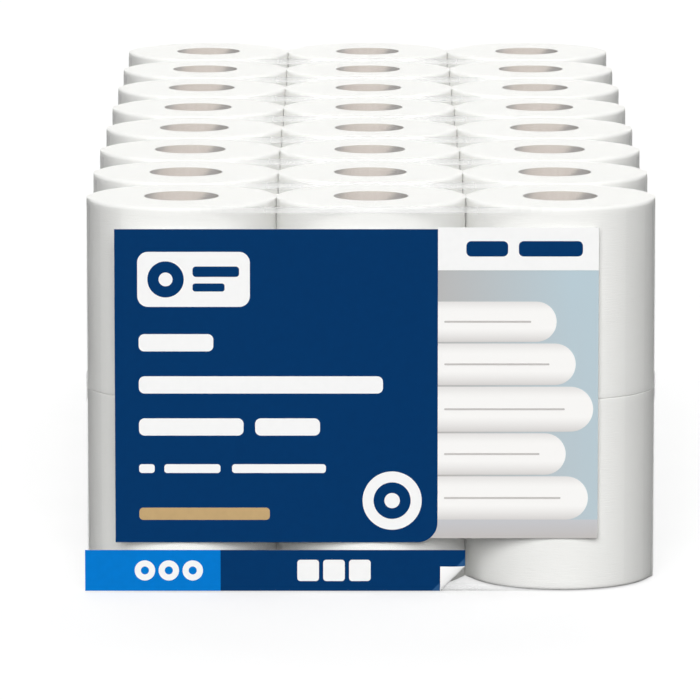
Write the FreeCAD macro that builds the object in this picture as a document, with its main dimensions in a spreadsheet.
"""Toilet rolls in film-wrapped six-packs, standing one behind another, with two printed cards on the front.

The origin is on the floor under the middle of the packs. +X is to the right as the front is seen, +Y runs
to the back and +Z is up. Lengths are in millimetres and angles in degrees.
"""
import FreeCAD, Part
import math
import os
import Sketcher

SIZES = {
    # tissue roll, wound on its card core
    "roll_diameter": 98.5,
    "roll_height": 100.0,
    "core_bore": 39.0,
    "sheet_step": 0.5,
    "tail_angle": 35.0,
    # how many six-packs stand one behind another
    "rows": 8,
    # clearances between the wrapped pieces, and the film's wall
    "roll_gap": 0.3,
    "layer_gap": 0.2,
    "film_gap": 0.3,
    "row_gap": 0.4,
    "film_wall": 0.3,
    # printed cards on the front
    "card_thickness": 0.4,
    "card_gap": 0.3,
    "panel_left_margin": 16.35,
    "panel_right_margin": 31.45,
    "panel_top_margin": 10.6,
    "panel_field_width": 166.7,
    "panel_field_corner": 10.3,
    "panel_picture_lift": 2.1,
    "panel_strip_rise": 0.8,
    "band_left_margin": 0.45,
    "band_width": 197.0,
    "band_height": 21.5,
    "band_floor_gap": 0.8,
    "band_panel_gap": 4.1,
    "band_ear": 13.0,
    "band_fold_radius": 0.35,
}

COLUMNS = ("left", "middle", "right")
LAYERS = ("lower", "upper")

# Lengths that several pieces share, worked out from the sizes.
ROLL_PITCH = "(Sizes.roll_diameter + Sizes.roll_gap)"
LAYER_PITCH = "(Sizes.roll_height + Sizes.layer_gap)"
ROW_PITCH = "(Sizes.roll_diameter + 2 * Sizes.film_gap + 2 * Sizes.film_wall + Sizes.row_gap)"
FIRST_ROW = f"(-(Sizes.rows - 1) / 2 * {ROW_PITCH})"
END_REACH = f"({(len(COLUMNS) - 1) / 2} * {ROLL_PITCH})"
CAVITY_RADIUS = "(Sizes.roll_diameter / 2 + Sizes.film_gap)"
CAVITY_HEIGHT = f"({len(LAYERS)} * {LAYER_PITCH} - Sizes.layer_gap + 2 * Sizes.film_gap)"
WRAP_RADIUS = f"({CAVITY_RADIUS} + Sizes.film_wall)"
WRAP_HEIGHT = f"({CAVITY_HEIGHT} + 2 * Sizes.film_wall)"
HALF_WIDTH = f"({END_REACH} + {WRAP_RADIUS})"
CARD_BACK = f"({FIRST_ROW} - {WRAP_RADIUS} - Sizes.card_gap)"
PANEL_FOOT = "(Sizes.band_floor_gap + Sizes.band_height + Sizes.band_panel_gap)"
PANEL_HEIGHT = f"({WRAP_HEIGHT} - Sizes.panel_top_margin - {PANEL_FOOT})"
PANEL_WIDTH = f"(2 * {HALF_WIDTH} - Sizes.panel_left_margin - Sizes.panel_right_margin)"
FIELD_FOOT = "(Sizes.panel_field_width - Sizes.panel_field_corner)"

# The fold's round stays under this share of the card's thickness.
FOLD_SHARE = 0.9

# Points of a sketch's line or arc, and the sketch's own axis and origin.
START = 1
END = 2
CENTRE = 3
X_AXIS = (-1,)
ORIGIN = (-1, START)

# Shorter than any edge of the cards.
FLAT = 0.001


def write_sheet(doc):
    """The sheet of driving sizes, one named cell to a row."""
    sheet = doc.addObject("Spreadsheet::Sheet", "Sizes")
    for row, (name, value) in enumerate(SIZES.items(), start=1):
        sheet.set(f"A{row}", name)
        sheet.set(f"B{row}", str(value))
        sheet.setAlias(f"B{row}", name)
    doc.recompute()


def add_body(doc, name):
    body = doc.addObject("PartDesign::Body", name)
    body.Label = name
    return body


def own_datum(body, role):
    """One of the body's own origin planes or axes."""
    return next(datum for datum in body.Origin.OriginFeatures if datum.Role == role)


def place(body, **where):
    """Binds the body's place, axis by axis, to the sizes."""
    for axis, expression in where.items():
        body.setExpression(f".Placement.Base.{axis}", expression)


def add_sketch(body, name, plane):
    sketch = body.newObject("Sketcher::SketchObject", name)
    sketch.AttachmentSupport = [(own_datum(body, plane), "")]
    sketch.MapMode = "FlatFace"
    return sketch


def hold(sketch, kind, *where):
    return sketch.addConstraint(Sketcher.Constraint(kind, *where))


def worked_out(sketch, expression):
    """What an expression of the sizes comes to."""
    return float(sketch.Document.getObject("Sizes").evalExpression(expression))


def measure(sketch, name, expression, kind, *where):
    """A sizing constraint with a name of its own, bound to the sizes."""
    sketch.renameConstraint(hold(sketch, kind, *where, worked_out(sketch, expression)), name)
    sketch.setExpression(f"Constraints.{name}", expression)


def add_pad(body, sketch, name, length):
    feature = body.newObject("PartDesign::Pad", name)
    feature.Profile = sketch
    feature.setExpression("Length", length)
    return feature


def flat(x, y):
    return FreeCAD.Vector(x, y, 0)


def arc(x, y, radius, start, end):
    """An arc in a sketch, from one angle to another."""
    circle = Part.Circle(flat(x, y), FreeCAD.Vector(0, 0, 1), radius)
    return Part.ArcOfCircle(circle, math.radians(start), math.radians(end))


def chain(sketch, *corners):
    """Draws straight lines from corner to corner and joins them end to end."""
    lines = [
        sketch.addGeometry(Part.LineSegment(flat(*one), flat(*other)))
        for one, other in zip(corners, corners[1:])
    ]
    for one, other in zip(lines, lines[1:]):
        hold(sketch, "Coincident", one, END, other, START)
    return lines


def square_up(sketch, lines, first="Horizontal"):
    """Makes lines level and upright by turns."""
    other = "Vertical" if first == "Horizontal" else "Horizontal"
    for index, line in enumerate(lines):
        hold(sketch, other if index % 2 else first, line)


def wound_outline(body):
    """Section of a wound roll: two half-turns whose centres lie half a sheet apart, the small step where the
    last sheet ends, and the bore of the card core."""
    sketch = add_sketch(body, f"{body.Name}_section", "XY_Plane")
    outer = SIZES["roll_diameter"] / 2
    step = SIZES["sheet_step"]
    inner_turn = sketch.addGeometry(arc(-step / 4, 0, outer - 3 * step / 4, 0, 180))
    outer_turn = sketch.addGeometry(arc(step / 4, 0, outer - step / 4, 180, 360))
    sheet_end = chain(sketch, (outer, 0), (outer - step, 0))[0]
    bore = sketch.addGeometry(Part.Circle(flat(0, 0), FreeCAD.Vector(0, 0, 1), SIZES["core_bore"] / 2))
    hold(sketch, "Coincident", inner_turn, END, outer_turn, START)
    hold(sketch, "Coincident", outer_turn, END, sheet_end, START)
    hold(sketch, "Coincident", sheet_end, END, inner_turn, START)
    hold(sketch, "PointOnObject", inner_turn, CENTRE, *X_AXIS)
    hold(sketch, "PointOnObject", inner_turn, START, *X_AXIS)
    hold(sketch, "PointOnObject", inner_turn, END, *X_AXIS)
    hold(sketch, "Symmetric", inner_turn, CENTRE, outer_turn, CENTRE, *ORIGIN)
    hold(sketch, "Coincident", bore, CENTRE, *ORIGIN)
    measure(sketch, "turn_shift", "Sizes.sheet_step / 2", "DistanceX", inner_turn, CENTRE, outer_turn, CENTRE)
    measure(sketch, "outer_turn", "Sizes.roll_diameter / 2 - Sizes.sheet_step / 4", "Radius", outer_turn)
    measure(sketch, "bore", "Sizes.core_bore / 2", "Radius", bore)
    turned = FreeCAD.Rotation(FreeCAD.Vector(0, 0, 1), SIZES["tail_angle"])
    sketch.AttachmentOffset = FreeCAD.Placement(flat(0, 0), turned)
    sketch.setExpression(".AttachmentOffset.Rotation.Angle", "Sizes.tail_angle")
    return sketch


def make_rolls(doc, column, layer):
    """One file of rolls from front to back, each tissue roll in one solid with its glued card core."""
    body = add_body(doc, f"{LAYERS[layer]}_{COLUMNS[column]}_rolls")
    body.AllowCompound = True
    roll = add_pad(body, wound_outline(body), f"{body.Name}_roll", "Sizes.roll_height")
    doc.recompute()
    file = body.newObject("PartDesign::LinearPattern", f"{body.Name}_file")
    file.Originals = [roll]
    file.Direction = (own_datum(body, "Y_Axis"), [""])
    file.setExpression("Length", f"(Sizes.rows - 1) * {ROW_PITCH}")
    file.setExpression("Occurrences", "Sizes.rows")
    body.Tip = file
    place(
        body,
        x=f"{column} * {ROLL_PITCH} - {END_REACH}",
        y=FIRST_ROW,
        z=f"Sizes.film_wall + Sizes.film_gap + {layer} * {LAYER_PITCH}",
    )
    return body


def stadium(body, name, radius):
    """Outline of film drawn tight round a row of rolls: half-circles at the ends, straight between them."""
    sketch = add_sketch(body, f"{body.Name}_{name}", "XY_Plane")
    reach = (len(COLUMNS) - 1) / 2 * SIZES["roll_diameter"]
    size = SIZES["roll_diameter"] / 2
    front = chain(sketch, (-reach, -size), (reach, -size))[0]
    right = sketch.addGeometry(arc(reach, 0, size, -90, 90))
    back = chain(sketch, (reach, size), (-reach, size))[0]
    left = sketch.addGeometry(arc(-reach, 0, size, 90, 270))
    for one, other in ((front, right), (right, back), (back, left), (left, front)):
        hold(sketch, "Tangent", one, END, other, START)
    hold(sketch, "PointOnObject", right, CENTRE, *X_AXIS)
    hold(sketch, "Symmetric", left, CENTRE, right, CENTRE, *ORIGIN)
    hold(sketch, "Equal", left, right)
    measure(sketch, "reach", END_REACH, "DistanceX", *ORIGIN, right, CENTRE)
    measure(sketch, "radius", radius, "Radius", right)
    return sketch


def make_film_wrap(doc, row):
    """The film round one six-pack: a closed skin with the room for the rolls inside it."""
    body = add_body(doc, f"film_wrap_{row + 1}")
    add_pad(body, stadium(body, "outside", WRAP_RADIUS), f"{body.Name}_skin", WRAP_HEIGHT)
    doc.recompute()
    inside = stadium(body, "inside", CAVITY_RADIUS)
    inside.setExpression(".AttachmentOffset.Base.z", "Sizes.film_wall")
    room = body.newObject("PartDesign::Pocket", f"{body.Name}_room")
    room.Profile = inside
    room.Reversed = True
    room.setExpression("Length", CAVITY_HEIGHT)
    place(body, y=f"{FIRST_ROW} + {row} * {ROW_PITCH}")
    return body


def panel_outline(body):
    """The large card: a field with one round lower corner, and beside it a picture that ends a little higher
    under a strip that stands a little higher."""
    sketch = add_sketch(body, f"{body.Name}_outline", "XZ_Plane")
    width = worked_out(sketch, PANEL_WIDTH)
    height = worked_out(sketch, PANEL_HEIGHT)
    field = SIZES["panel_field_width"]
    corner = SIZES["panel_field_corner"]
    lift = SIZES["panel_picture_lift"]
    rise = SIZES["panel_strip_rise"]
    lift_angle = -math.degrees(math.asin(1 - lift / corner))
    foot = chain(sketch, (0, 0), (field - corner, 0))[0]
    bend = sketch.addGeometry(arc(field - corner, corner, corner, -90, lift_angle))
    turn = (field - corner + corner * math.cos(math.radians(lift_angle)), lift)
    picture = (turn, (width, lift), (width, height))
    strip = ((field, height), (field, height - rise))
    lines = chain(sketch, *picture, *strip, (0, height - rise), (0, 0))
    picture_foot, right, strip_top, strip_side, field_top, left = lines
    hold(sketch, "Tangent", foot, END, bend, START)
    hold(sketch, "Coincident", bend, END, picture_foot, START)
    hold(sketch, "Coincident", left, END, foot, START)
    hold(sketch, "Coincident", foot, START, *ORIGIN)
    hold(sketch, "Horizontal", foot)
    square_up(sketch, lines)
    measure(sketch, "corner", "Sizes.panel_field_corner", "Radius", bend)
    measure(sketch, "foot", FIELD_FOOT, "DistanceX", foot, START, foot, END)
    measure(sketch, "lift", "Sizes.panel_picture_lift", "DistanceY", foot, START, picture_foot, START)
    measure(sketch, "field", "Sizes.panel_field_width", "DistanceX", left, START, field_top, START)
    measure(sketch, "width", PANEL_WIDTH, "DistanceX", foot, START, right, START)
    measure(sketch, "height", PANEL_HEIGHT, "DistanceY", foot, START, strip_top, START)
    measure(sketch, "rise", "Sizes.panel_strip_rise", "DistanceY", strip_side, END, strip_side, START)
    return sketch


def make_panel(doc):
    body = add_body(doc, "label_panel")
    add_pad(body, panel_outline(body), "label_panel_card", "Sizes.card_thickness")
    place(body, x=f"Sizes.panel_left_margin - {HALF_WIDTH}", y=CARD_BACK, z=PANEL_FOOT)
    return body


def band_outline(body):
    """The narrow card without its lower right corner, which is folded up."""
    sketch = add_sketch(body, f"{body.Name}_outline", "XZ_Plane")
    width = SIZES["band_width"]
    height = SIZES["band_height"]
    ear = SIZES["band_ear"]
    lines = chain(sketch, (0, 0), (width - ear, 0), (width, ear), (width, height), (0, height), (0, 0))
    foot, fold, right, top, left = lines
    hold(sketch, "Coincident", left, END, foot, START)
    hold(sketch, "Coincident", foot, START, *ORIGIN)
    hold(sketch, "Horizontal", foot)
    square_up(sketch, (right, top, left), "Vertical")
    measure(sketch, "width", "Sizes.band_width", "DistanceX", foot, START, right, START)
    measure(sketch, "height", "Sizes.band_height", "DistanceY", left, END, left, START)
    measure(sketch, "ear_width", "Sizes.band_ear", "DistanceX", fold, START, fold, END)
    measure(sketch, "ear_height", "Sizes.band_ear", "DistanceY", fold, START, fold, END)
    return sketch


def ear_outline(body):
    """The folded corner, which lies on the front of its own card with its tip up and inwards."""
    sketch = add_sketch(body, f"{body.Name}_ear_outline", "XZ_Plane")
    width = SIZES["band_width"]
    ear = SIZES["band_ear"]
    lines = chain(sketch, (width - ear, 0), (width, ear), (width - ear, ear), (width - ear, 0))
    fold, top, side = lines
    hold(sketch, "Coincident", side, END, fold, START)
    hold(sketch, "PointOnObject", fold, START, *X_AXIS)
    hold(sketch, "Horizontal", top)
    hold(sketch, "Vertical", side)
    measure(sketch, "width", "Sizes.band_width", "DistanceX", *ORIGIN, fold, END)
    measure(sketch, "ear_width", "Sizes.band_ear", "DistanceX", fold, START, fold, END)
    measure(sketch, "ear_height", "Sizes.band_ear", "DistanceY", fold, START, fold, END)
    sketch.setExpression(".AttachmentOffset.Base.z", "Sizes.card_thickness")
    return sketch


def fold_edges(shape):
    """Names of the two long edges of the folded side, which runs up at 45 degrees."""
    names = []
    for number, edge in enumerate(shape.Edges, start=1):
        start, end = (vertex.Point for vertex in edge.Vertexes)
        run = end - start
        if abs(run.x) > FLAT and abs(abs(run.x) - abs(run.z)) < FLAT:
            names.append((start.y, f"Edge{number}"))
    names.sort()
    return [names[0][1], names[-1][1]]


def make_band(doc):
    body = add_body(doc, "label_band")
    add_pad(body, band_outline(body), "label_band_card", "Sizes.card_thickness")
    doc.recompute()
    folded = add_pad(body, ear_outline(body), "label_band_ear", "Sizes.card_thickness")
    doc.recompute()
    bend = body.newObject("PartDesign::Fillet", "label_band_bend")
    bend.Base = (folded, fold_edges(folded.Shape))
    bend.setExpression("Radius", f"min(Sizes.band_fold_radius; {FOLD_SHARE} * Sizes.card_thickness)")
    place(body, x=f"Sizes.band_left_margin - {HALF_WIDTH}", y=CARD_BACK, z="Sizes.band_floor_gap")
    return body


def check(doc, pieces):
    """Stops if any object failed, or a piece isn't sound."""
    for item in doc.Objects:
        if "Invalid" in item.State or "Error" in item.State:
            raise RuntimeError(f"{item.Label} is {item.State}")
    for piece in pieces:
        shape = piece.Shape
        if shape.isNull() or not shape.isValid() or not shape.Solids:
            raise RuntimeError(f"{piece.Label} has no sound solid")


def main():
    doc = FreeCAD.newDocument("toilet_roll_packs")
    write_sheet(doc)
    pieces = [
        make_rolls(doc, column, layer)
        for layer in range(len(LAYERS))
        for column in range(len(COLUMNS))
    ]
    pieces += [make_film_wrap(doc, row) for row in range(int(SIZES["rows"]))]
    pieces += [make_panel(doc), make_band(doc)]
    doc.recompute()
    check(doc, pieces)
    os.makedirs("parts", exist_ok=True)
    for piece in pieces:
        piece.Shape.exportStep(f"parts/{piece.Label}.step")


main()
